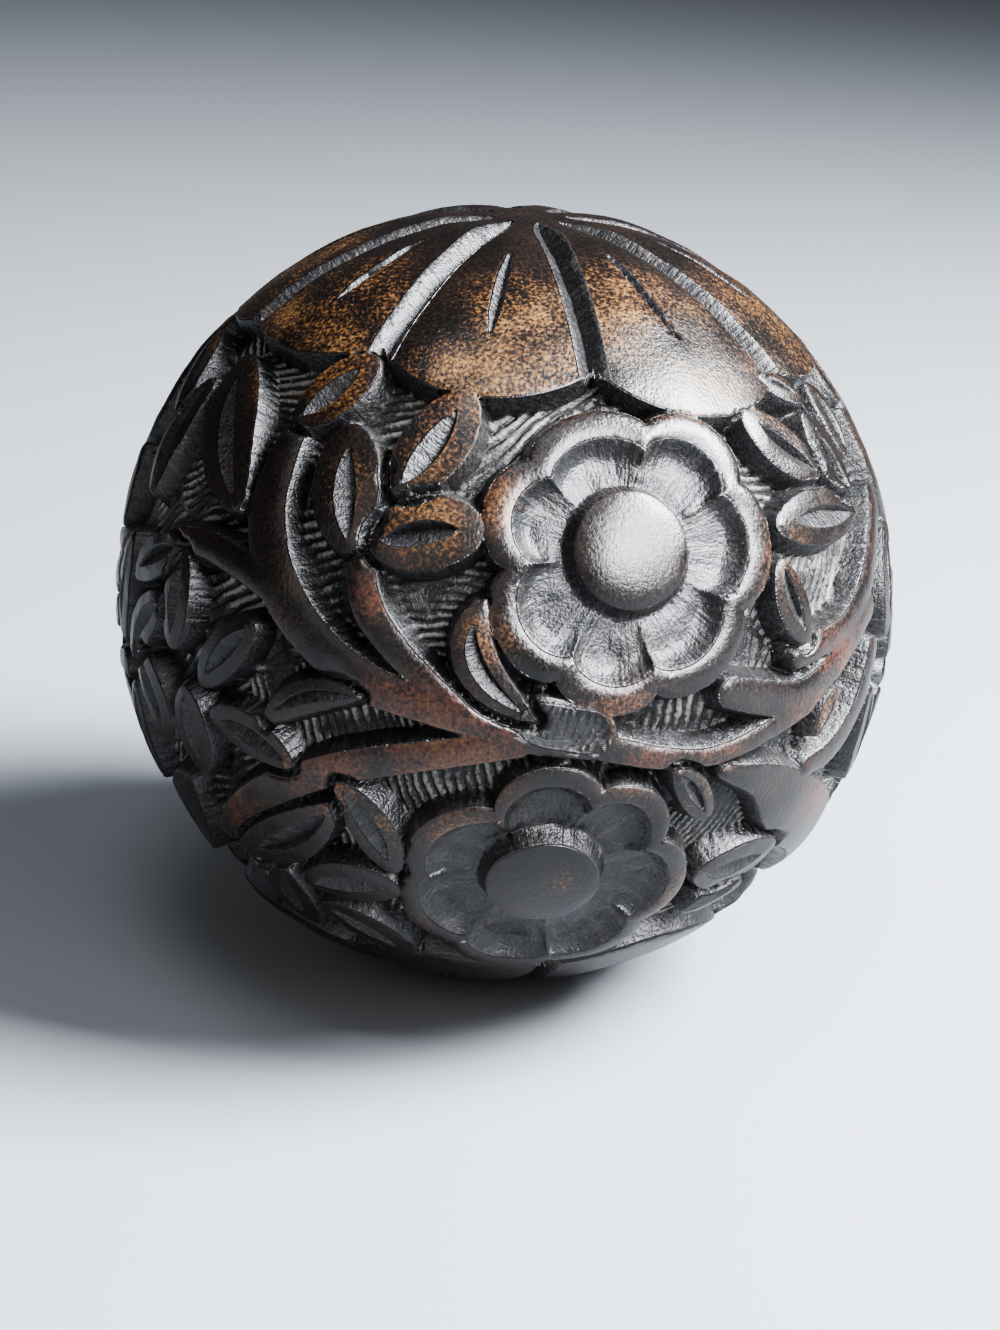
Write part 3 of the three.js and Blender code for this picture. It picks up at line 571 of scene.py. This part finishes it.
GROUND_DEPTH = 3.2
GROUND_FROM, GROUND_FULL = 0.5 * WALL_RUN, 1.1 * WALL_RUN  # where the ground's own finish begins
PARED_GROUND = 0.8  # how much of that finish the pared place has
EDGE_SOFT = 0.06 * MILLIMETRE
EDGE_OVERLAP = 0.3 * MILLIMETRE  # how far outside its outline a motif's crown goes on
RIPPLE = 0.38  # height of the ridges between the chisel's strokes, and how its share of that changes
RIPPLE_LEAST, RIPPLE_MEAN, RIPPLE_CHANGE = 0.2, 0.75, 0.5
SWELLS = ((0.10, 11, 1), (0.05, 4, 2))  # each with its depth, length and seed
SWELL_ROOM = 0.1  # keeps them inside the ball
SCOOP_SWELL = 0.14  # unevenness of the scoops, from where they are so deep
SCOOP_SHALLOW, SCOOP_DEEP = 1.0, 2.2
CROWN_DIP = 0.9  # how far the top of the ball is worn down, and how many degrees from the pole
CROWN_SPREAD = 16
UNCROWNED = 9.0
KNIFE_REACH = 2.0
FAR = 1.0  # from a crease or a cut, for a place that has none near it
OUTLINE, WALL_FOOT, LEAF_EDGE, LEAF_GROOVE, OWN = range(5)
LINES = OWN + 4  # a motif has four creases of its own at most


# The carving at some places on the ball, as a table of named columns, with depths in millimetres. The lines
# are the creases that the knife leaves: how far each place is from them, negative on one side. They are the
# outlines, the feet of the walls, the outlines of the leaves, the grooves round them, and each motif's own.
def carve(points):
    count = len(points)
    nearest, crown, groove = np.full(count, FAR), np.full(count, UNCROWNED), np.zeros(count)
    along, across, owner = np.zeros(count), np.zeros(count), np.zeros(count, int)
    knife, leaf_edge, blossom = np.full(count, -FAR), np.full(count, FAR), np.zeros(count, bool)
    lines = np.full((count, LINES), FAR)
    for number, motif in enumerate(motifs):
        near = motif.near(points)
        outside, length, side, rounding, cut, fresh, inner = motif.carve(points[near])
        inside, closer, is_leaf = outside < 0, outside < nearest[near], isinstance(motif, Leaf)
        if is_leaf:
            closer |= inside
            leaf_edge[near] = np.minimum(leaf_edge[near], outside)
        if isinstance(motif, (Flower, Rosette)):
            blossom[near] |= inside
        mine = near[closer]
        along[mine], across[mine], owner[mine] = length[closer], side[closer], number
        lines[mine, OWN:] = FAR
        for column, line in enumerate(inner, OWN):
            lines[mine, column] = line[closer]
        nearest[near] = np.minimum(nearest[near], outside)
        crowned = outside < EDGE_OVERLAP
        crown[near[crowned]] = np.minimum(crown[near[crowned]], rounding[crowned])
        touched = inside | (is_leaf & ~blossom[near])
        groove[near[touched]] = np.maximum(groove[near[touched]], cut[touched])
        knife[near[touched]] = np.maximum(knife[near[touched]], fresh[touched])
    slope = GROUND_DEPTH / WALL_RUN
    wall = slope * (soft_ramp(nearest, EDGE_SOFT) - soft_ramp(nearest - WALL_RUN, EDGE_SOFT))
    ground = smooth_step(GROUND_FROM, GROUND_FULL, nearest)
    crown = np.where(crown < UNCROWNED, crown, 0)
    depth = np.maximum(np.maximum(wall, groove), crown)
    lines[:, OUTLINE], lines[:, WALL_FOOT] = nearest, nearest - WALL_RUN
    lines[:, LEAF_EDGE], lines[:, LEAF_GROOVE] = leaf_edge, leaf_edge - CUT_WIDTH / 2
    waves = chisel_waves(points)
    near = pared.near(points)
    share = pared.share(pared.measure(points[near])[0])
    ground[near] = np.maximum(ground[near], PARED_GROUND * share)
    waves[near] = np.where(share > 0, pared.strokes(points[near]), waves[near])
    strength = RIPPLE_MEAN + RIPPLE_CHANGE * hand_swell(points, length=9, seed=4)
    strength = np.clip(strength, RIPPLE_LEAST, 1)
    depth = depth - RIPPLE * ground * strength * np.abs(np.sin(np.pi * waves))
    scooped = smooth_step(SCOOP_SHALLOW, SCOOP_DEEP, groove) * (nearest < 0)
    depth = depth + SCOOP_SWELL * hand_swell(points, length=3, seed=6) * scooped
    for swell, length, seed in SWELLS:
        depth = depth + swell * hand_swell(points, length, seed)
    from_top = np.degrees(np.arccos(np.clip(points[:, 2], -1, 1)))
    depth = depth + SWELL_ROOM + CROWN_DIP * (1 - smooth_step(0, CROWN_SPREAD, from_top))
    return {
        "depth": depth, "ground": ground, "waves": waves, "strength": strength,
        "knife": np.clip(np.maximum(knife, nearest) / MILLIMETRE, -KNIFE_REACH, KNIFE_REACH),
        "along": along, "across": across, "owner": owner, "lines": lines,
    }


# Where hands have rubbed the stain through: longitude, latitude, spread in degrees, and how much
RUBBED_ALL_OVER = 0.12
rubbed = [
    (-9, 47, 9, 0.9), (-2, 58, 10, 0.6), (8, 50, 7, 0.8), (28, 60, 10, 0.9), (42, 52, 10, 0.7),
    (30, 44, 8, 0.5),
    (-48, 52, 13, 0.55), (80, 52, 14, 0.7),
    (-13, 37, 5, 0.9), (-12, 25.5, 5, 0.9), (-33, 42, 5, 0.75), (-25, 30, 5, 0.5), (-18, 16, 3, 0.8),
    (0, 30, 4, 0.8), (-1, 12, 5, 0.6), (10, 8, 6, 0.4), (-12, 2, 8, 0.5), (-30, 10, 7, 0.35),
    (25, -4, 10, 0.6), (52, 2, 10, 0.5), (50, 38, 5, 0.5), (11, -23, 4, 0.35), (-14, -16, 6, 0.45),
    (-6, -4, 10, 0.65), (-22, -8, 9, 0.55), (-38, -18, 8, 0.45), (16, 6, 8, 0.5), (-3, -16, 7, 0.5),
    (15.5, 24, 2.2, 0.6), (30, -28, 8, 0.4), (56, -18, 10, 0.45), (42, 22, 9, 0.35), (-52, 10, 9, 0.3),
    (-10, -34, 9, 0.35),
]


def rubbing(points):
    amount = np.full(len(points), RUBBED_ALL_OVER)
    for turn in (0, *(each[0] for each in repeats)):
        for longitude, latitude, spread, strength in rubbed:
            angle = np.arccos(np.clip(points @ direction(longitude + turn, latitude), -1, 1))
            amount = np.maximum(amount, strength * np.exp(-((angle / np.radians(spread)) ** 2)))
    return amount


# The ball is cut from an even ball of triangles. First the edges near a cut are halved. The back, which is
# plainer, gets fewer faces throughout.
VIEW_SIDE = unit(np.array(VIEW_FROM))
FRONT_FROM, FRONT_FULL = -0.1, 0.3  # how far towards the viewer, as a share of the radius
ON_LINE = 0.03 * MILLIMETRE
NEARLY_ON_LINE = 1.5 * ON_LINE
blank = bmesh.new()
bmesh.ops.create_icosphere(blank, subdivisions=6, radius=1)


# An edge is halved where a crease lies nearer to its middle than a share of its length, or where the carving
# departs by more millimetres than it may from the straight edge. Each limit has a value for the front and one
# for the back, and a departure of 9 mm is never met. No edge shorter than the least length, in millimetres,
# is halved, and in the end none that lies along a crease.
def halve_edges(near_front, near_back, front, back, least, keep_scored=False):
    blank.verts.index_update()
    spots = unit(np.array([corner.co for corner in blank.verts]))
    ends = np.array([(edge.verts[0].index, edge.verts[1].index) for edge in blank.edges])
    start, end = spots[ends[:, 0]], spots[ends[:, 1]]
    halfway = unit(start + end)
    at_ends, between = carve(spots), carve(halfway)
    depth = at_ends["depth"]
    sag = np.abs(between["depth"] - (depth[ends[:, 0]] + depth[ends[:, 1]]) / 2)
    length = np.linalg.norm(start - end, axis=1)
    facing = smooth_step(FRONT_FROM, FRONT_FULL, halfway @ VIEW_SIDE)
    by_a_cut = np.abs(between["lines"]).min(1) < (near_back + (near_front - near_back) * facing) * length
    uneven = sag > back + (front - back) * facing
    chosen = (by_a_cut | uneven) & (length > least * MILLIMETRE)
    if keep_scored:
        chosen &= ~(np.abs(at_ends["lines"]) < NEARLY_ON_LINE)[ends].all(1).any(1)
    halved = [edge for edge, choice in zip(blank.edges, chosen) if choice]
    bmesh.ops.subdivide_edges(blank, edges=halved, cuts=1, use_grid_fill=True)
    bmesh.ops.triangulate(blank, faces=[face for face in blank.faces if len(face.verts) > 3])


halve_edges(near_front=0.6, near_back=0.35, front=0.05, back=0.2, least=0.9)
halve_edges(near_front=0.4, near_back=0, front=0.5, back=9, least=0.5)

# Then each crease is scored: where an edge crosses it, it takes over the edge's end if that is close by, or
# else splits the edge, and its corners are joined, so that it runs true. Each crease has a limit for how far
# round the back it is scored, as a share of the radius towards the viewer. Below -1, it is scored all round.
TAKEN_OVER = 0.3
ROUND_THE_BACK = (-2, -2, -2, 0, -2, -2, -0.3, -0.1)
CLOSING_IN = 4
numbers = blank.verts.layers.int.new("number")
corners = list(blank.verts)
places = unit(np.array([corner.co for corner in corners]))
table = carve(places)
lines, owner = table["lines"], table["owner"]
settled = np.zeros(len(places), bool)
for number, corner in enumerate(corners):
    corner[numbers] = number
for line, limit in enumerate(ROUND_THE_BACK):
    edges = list(blank.edges)
    ends = np.array([(edge.verts[0][numbers], edge.verts[1][numbers]) for edge in edges])
    level = lines[ends, line]
    crossed = (level.min(1) < -ON_LINE) & (level.max(1) > ON_LINE)
    crossed &= (places @ VIEW_SIDE)[ends].min(1) > limit
    if line == LEAF_GROOVE:
        crossed &= lines[ends, OUTLINE].max(1) < ON_LINE
    if line >= OWN:
        crossed &= owner[ends[:, 0]] == owner[ends[:, 1]]
    rows = np.flatnonzero(crossed)
    start, end = places[ends[rows, 0]], places[ends[rows, 1]]
    low, high = np.zeros(len(rows)), np.ones(len(rows))
    at_low, at_high = level[rows].T.copy()
    for _ in range(CLOSING_IN):
        share = low + (high - low) * at_low / (at_low - at_high)
        onto = unit(start * (1 - share)[:, None] + end * share[:, None])
        between = carve(onto)["lines"][:, line]
        lower = between * at_low > 0
        low, at_low = np.where(lower, share, low), np.where(lower, between, at_low)
        high, at_high = np.where(lower, high, share), np.where(lower, at_high, between)
    taker = np.where(share < 0.5, ends[rows, 0], ends[rows, 1])
    gap = np.minimum(share, 1 - share)
    taken = np.flatnonzero((gap < TAKEN_OVER) & ~settled[taker])
    taken = taken[np.argsort(-gap[taken])]
    places[taker[taken]] = onto[taken]
    moved = np.unique(taker[taken])
    table = carve(places[moved])
    lines[moved], owner[moved] = table["lines"], table["owner"]
    lines[moved, line] = 0
    settled[moved] = True
    for number in moved:
        corners[number].co = places[number]
    level = lines[ends[rows], line]
    left = np.flatnonzero((level.min(1) < -ON_LINE) & (level.max(1) > ON_LINE))
    for row, part in zip(rows[left], share[left]):
        corner = bmesh.utils.edge_split(edges[row], edges[row].verts[0], float(part))[1]
        corner[numbers] = len(corners)
        corners.append(corner)
    table = carve(onto[left])
    table["lines"][:, line] = 0
    places, lines = np.vstack([places, onto[left]]), np.vstack([lines, table["lines"]])
    owner, settled = np.append(owner, table["owner"]), np.append(settled, np.ones(len(left), bool))
    on_it = np.flatnonzero(np.abs(lines[:, line]) <= ON_LINE)
    bmesh.ops.connect_verts(blank, verts=[corners[number] for number in on_it])
    bmesh.ops.triangulate(blank, faces=[face for face in blank.faces if len(face.verts) > 3])

# Last, the edges over rounded or uneven places are halved again.
halve_edges(near_front=0, near_back=0, front=0.05, back=0.3, least=0.35, keep_scored=True)

# The ball is carved to its depth, and its underside is planed off.
blank.verts.index_update()
places = unit(np.array([corner.co for corner in blank.verts]))
cut = carve(places)
carved = places * (BALL_RADIUS - cut["depth"] * MM)[:, None]
below = carved[:, 2] < -FOOT_HEIGHT
carved[below] *= (-FOOT_HEIGHT / carved[below, 2])[:, None]
carved[:, 2] += FOOT_HEIGHT
for corner, place in zip(blank.verts, carved):
    corner.co = place
ball_mesh = bpy.data.meshes.new("carved_wood_ball")
blank.to_mesh(ball_mesh)
blank.free()
ball_mesh.shade_smooth()
ends = np.array([edge.vertices for edge in ball_mesh.edges])
sharp = np.zeros(len(ends), bool)
for line in (OUTLINE, WALL_FOOT, LEAF_EDGE, OWN, OWN + 1):
    on_it = np.abs(cut["lines"][:, line]) < NEARLY_ON_LINE
    sharp |= on_it[ends].all(1) & (line < OWN or cut["owner"][ends[:, 0]] == cut["owner"][ends[:, 1]])
ball_mesh.attributes.new("sharp_edge", "BOOLEAN", "EDGE").data.foreach_set("value", sharp)
ball = bpy.data.objects.new("carved_wood_ball", ball_mesh)
bpy.context.scene.collection.objects.link(ball)

# What the finish needs to know of each place. The tool's path runs along and across each motif, and every
# motif has its own layer of it.
PATH_LAYER = 0.1
columns = {
    "ground": cut["ground"],
    "waves": cut["waves"],
    "strength": cut["strength"],
    "knife": cut["knife"],
    "rubbed": rubbing(places),
    "red": np.array([motif.red for motif in motifs])[cut["owner"]],
}
for name, values in columns.items():
    layer = ball_mesh.attributes.new(name, "FLOAT", "POINT")
    layer.data.foreach_set("value", values.astype(np.float32))
path = np.stack([cut["along"], cut["across"], PATH_LAYER * cut["owner"]], -1) * BALL_RADIUS
layer = ball_mesh.attributes.new("tool_path", "FLOAT_VECTOR", "POINT")
layer.data.foreach_set("vector", path.astype(np.float32).ravel())


# Nodes written as sums: a Value stands for one socket and adds a Math node for each operation on it.
class Finish:
    def __init__(self, name):
        self.material = bpy.data.materials.new(name)
        self.material.use_nodes = True
        self.tree = self.material.node_tree
        self.shader = self.tree.nodes["Principled BSDF"]

    def node(self, kind, settings=None, **values):
        made = self.tree.nodes.new(kind)
        for name, setting in (settings or {}).items():
            if name == "stops":
                ramp = made.color_ramp
                while len(ramp.elements) < len(setting):
                    ramp.elements.new(0.5)
                for element, (position, colour) in zip(ramp.elements, setting):
                    element.position, element.color = position, (*colour, 1)
            else:
                setattr(made, name, setting)
        for name, value in values.items():
            self.feed(made.inputs[name.replace("_", " ")], value)
        return made

    def feed(self, socket, value):
        if isinstance(value, Value):
            value = value.socket
        if isinstance(value, bpy.types.NodeSocket):
            self.tree.links.new(value, socket)
        else:
            socket.default_value = value

    def column(self, name):
        return Value(self, self.node("ShaderNodeAttribute", {"attribute_name": name}).outputs["Fac"])

    # Noise at one scale, or at three where it is stretched along an axis
    def noise(self, place, scale, detail, roughness):
        if isinstance(scale, tuple):
            mapping = self.node("ShaderNodeMapping", {"vector_type": "POINT"}, Vector=place, Scale=scale)
            place, scale = mapping.outputs["Vector"], 1.0
        made = self.node("ShaderNodeTexNoise", {"noise_dimensions": "3D"}, Vector=place, Scale=scale,
                         Detail=detail, Roughness=roughness)
        return Value(self, made.outputs["Fac"])

    # A Mix node's sockets have the same names for numbers and colours, so the colours' are taken by place.
    def mix(self, share, first, second):
        made = self.node("ShaderNodeMix", {"data_type": "RGBA", "clamp_factor": True})
        self.feed(made.inputs[0], share)
        self.feed(made.inputs[6], first)
        self.feed(made.inputs[7], second)
        return made.outputs[2]


class Value:
    def __init__(self, finish, socket):
        self.finish, self.socket = finish, socket

    def _with(self, operation, *others, first=None):
        made = self.finish.node("ShaderNodeMath", {"operation": operation})
        for place, value in enumerate((self, *others) if first is None else (first, self)):
            self.finish.feed(made.inputs[place], value)
        return Value(self.finish, made.outputs[0])

    def __add__(self, other): return self._with("ADD", other)
    def __sub__(self, other): return self._with("SUBTRACT", other)
    def __mul__(self, other): return self._with("MULTIPLY", other)
    def __rsub__(self, other): return self._with("SUBTRACT", first=other)
    __radd__, __rmul__ = __add__, __mul__

    def sine(self): return self._with("SINE")
    def absolute(self): return self._with("ABSOLUTE")

    def ramp(self, low, high):
        made = self.finish.node("ShaderNodeMapRange", {"interpolation_type": "SMOOTHSTEP", "clamp": True},
                                Value=self, From_Min=low, From_Max=high)
        return Value(self.finish, made.outputs[0])


wood = Finish("stained_carved_wood")
place = wood.node("ShaderNodeTexCoord").outputs["Object"]
tool_path = wood.node("ShaderNodeAttribute", {"attribute_name": "tool_path"}).outputs["Vector"]
ground, waves, strength, knife, rubbed_through, red = map(wood.column, columns)

# The stain wears to brown, and then to gold on petals and leaves or to red on the stems. Cuts are dusty, with
# torn grain, and the dark ground has pale ridges between the chisel's strokes, a painted highlight on their
# crests.
STAIN = (0.0085, 0.0062, 0.0055)
BROWN = (0.030, 0.0155, 0.0095)
RED_BROWN = (0.085, 0.027, 0.015)
ORANGE = (0.15, 0.072, 0.026)
GOLD = (0.34, 0.215, 0.085)
GROUND = (0.010, 0.0085, 0.007, 1)
DUST = (0.038, 0.039, 0.044, 1)
PAINTED_RIDGE_HIGHLIGHT = (0.25, 0.235, 0.21, 1)
TORN = (0.105, 0.082, 0.062, 1)
UNWORN = 0.03
BUMP_STRENGTH, BUMP_HEIGHT = 0.7, 0.0003
WAX_IOR = 1.55

speckles = wood.noise(place, 2300, detail=2, roughness=0.65)
swirls = wood.noise(place, 130, detail=3, roughness=0.55)
pores = wood.noise(place, (2600, 2600, 700), detail=2, roughness=0.5)
fibres = wood.noise(tool_path, (3600, 700, 60), detail=3, roughness=0.6)
flutes = wood.noise(tool_path, (1100, 170, 60), detail=2, roughness=0.5)
torn = wood.noise(tool_path, (520, 75, 60), detail=3, roughness=0.7)
flecked, swirled = speckles - 0.5, swirls - 0.5
sliced = knife.ramp(0.0, 0.14)
# Within half a millimetre of a cut the tops are lighter: partly wear on the edges, partly a painted highlight
# along them.
edge_wear_and_highlight = knife.ramp(-0.5, 0.0)
bars = (waves * math.pi).sine().absolute() * strength * ground
gate = (0.3 + 0.7 * rubbed_through.ramp(0.1, 0.45)) * (1 - sliced)
wear_and_edge_highlight = rubbed_through * 0.33 + edge_wear_and_highlight * 0.08
gold_wear_and_highlight = (wear_and_edge_highlight + flecked * 1.9 + swirled * 1.1) * gate + UNWORN
red_wear_and_highlight = wear_and_edge_highlight * 1.15 + flecked * 1.6 + swirled * 1.6 + (fibres - 0.5) * 0.6
red_wear_and_highlight = red_wear_and_highlight * gate + UNWORN
gold_colour = wood.node("ShaderNodeValToRGB", {"stops": (
    (0.0, STAIN), (0.22, BROWN), (0.48, ORANGE), (0.9, GOLD))}, Fac=gold_wear_and_highlight).outputs["Color"]
red_colour = wood.node("ShaderNodeValToRGB", {"stops": (
    (0.0, STAIN), (0.18, BROWN), (0.36, RED_BROWN), (0.8, ORANGE))}, Fac=red_wear_and_highlight).outputs["Color"]
colour = wood.mix(red, gold_colour, red_colour)
colour = wood.mix(ground, colour, GROUND)
face = sliced * (1 - ground)
colour = wood.mix((fibres * 0.25 + speckles * 0.5 + flutes * 0.4).ramp(0.38, 0.8) * face, colour, DUST)
colour = wood.mix((torn * 0.75 + flecked * 0.5).ramp(0.36, 0.6) * face * 0.7, colour, TORN)
# The crests of the ripples in the ground are painted pale: a painted highlight.
colour = wood.mix((bars * 0.9 + flecked * 1.1).ramp(0.42, 0.95) * ground, colour, PAINTED_RIDGE_HIGHLIGHT)
wood.feed(wood.shader.inputs["Base Color"], colour)
roughness = 0.34 + 0.06 * sliced + 0.14 * ground + 0.25 * flecked + 0.15 * swirled
wood.feed(wood.shader.inputs["Roughness"], roughness)
relief = speckles * 0.28 + pores * 0.2 + bars * 1.2
relief = relief + (fibres * 0.4 + speckles * 0.4 + flutes * 0.8) * sliced + torn * 1.3 * face
bump = wood.node("ShaderNodeBump", Strength=BUMP_STRENGTH, Distance=BUMP_HEIGHT, Height=relief)
wood.feed(wood.shader.inputs["Normal"], bump.outputs["Normal"])
wood.shader.inputs["IOR"].default_value = WAX_IOR
ball_mesh.materials.append(wood.material)

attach(ball, "root")
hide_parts("carved_ball")

low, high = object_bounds()
